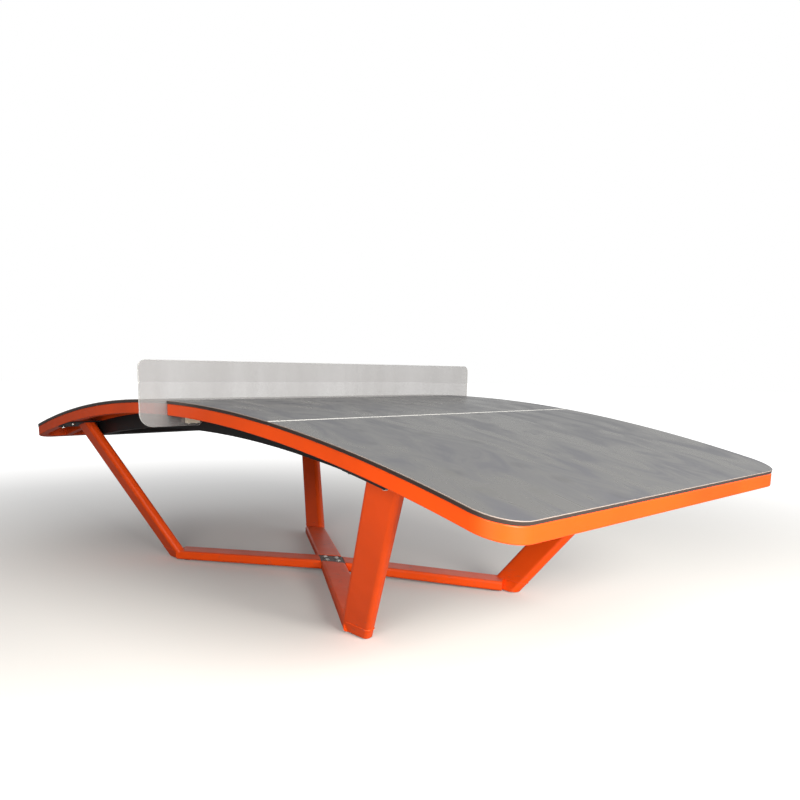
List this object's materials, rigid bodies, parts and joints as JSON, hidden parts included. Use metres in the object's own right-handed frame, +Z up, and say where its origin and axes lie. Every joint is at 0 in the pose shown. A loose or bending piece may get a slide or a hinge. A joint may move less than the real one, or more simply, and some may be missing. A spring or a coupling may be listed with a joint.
{
  "type": "curved ball game table",
  "caption": "Curved-top ball game table with rounded corners, a clear lift-out net panel through a centre slot, splayed flat-tube legs and a crossed floor base.",
  "frame": {"origin": "on the floor under the middle of the table", "axes": "+X along the table's length, +Y across it along the net, +Z up"},
  "size_m": [3, 1.7, 0.9],
  "materials": {
    "board": "satin",
    "painted_frame": "satin",
    "painted_leg": "satin",
    "black_beam": "satin",
    "net_clear": "gloss",
    "guide_block": "matte",
    "foot_pad": "matte",
    "fastener": "satin"
  },
  "bodies": {
    "table": {"board_right": "board", "end_rail_right": "painted_frame", "centre_rail_right": "painted_frame", "cross_ribs_right": "painted_frame", "cross_beam_right": "black_beam", "board_left": "board", "end_rail_left": "painted_frame", "centre_rail_left": "painted_frame", "cross_ribs_left": "painted_frame", "cross_beam_left": "black_beam", "beam_far": "black_beam", "net_guides_far": "guide_block", "beam_near": "black_beam", "net_guides_near": "guide_block", "side_rail_far_right": "painted_frame", "corner_rail_far_right": "painted_frame", "rib_far_right": "painted_frame", "leg_mount_far_right": "black_beam", "leg_far_right": "painted_leg", "arm_far_right": "painted_leg", "side_rail_near_right": "painted_frame", "corner_rail_near_right": "painted_frame", "rib_near_right": "painted_frame", "leg_mount_near_right": "black_beam", "leg_near_right": "painted_leg", "arm_near_right": "painted_leg", "side_rail_far_left": "painted_frame", "corner_rail_far_left": "painted_frame", "rib_far_left": "painted_frame", "leg_mount_far_left": "black_beam", "leg_far_left": "painted_leg", "arm_far_left": "painted_leg", "side_rail_near_left": "painted_frame", "corner_rail_near_left": "painted_frame", "rib_near_left": "painted_frame", "leg_mount_near_left": "black_beam", "leg_near_left": "painted_leg", "arm_near_left": "painted_leg", "hub_block": "black_beam", "hub_plate": "black_beam", "hub_bolts": "fastener", "arm_bolts": "fastener", "leg_bolts": "fastener", "foot_nuts": "fastener", "board_screws": "fastener", "seam_bolts": "fastener", "seam_spacers": "fastener", "guide_screws": "fastener"},
    "net": {"net_panel": "net_clear"},
    "foot_far_right": {"foot_pad_far_right": "foot_pad", "foot_stem_far_right": "fastener"},
    "foot_near_right": {"foot_pad_near_right": "foot_pad", "foot_stem_near_right": "fastener"},
    "foot_far_left": {"foot_pad_far_left": "foot_pad", "foot_stem_far_left": "fastener"},
    "foot_near_left": {"foot_pad_near_left": "foot_pad", "foot_stem_near_left": "fastener"}
  },
  "joints": [
    {"name": "net_lift_out", "type": "slide", "parent": "table", "child": "net", "axis": [0, 0, 1], "range_m": [0, 0.13]},
    {"name": "foot_level_far_right", "type": "slide", "parent": "table", "child": "foot_far_right", "axis": [0, 0, -1], "range_m": [0, 0.012]},
    {"name": "foot_level_near_right", "type": "slide", "parent": "table", "child": "foot_near_right", "axis": [0, 0, -1], "range_m": [0, 0.012]},
    {"name": "foot_level_far_left", "type": "slide", "parent": "table", "child": "foot_far_left", "axis": [0, 0, -1], "range_m": [0, 0.012]},
    {"name": "foot_level_near_left", "type": "slide", "parent": "table", "child": "foot_near_left", "axis": [0, 0, -1], "range_m": [0, 0.012]}
  ]
}
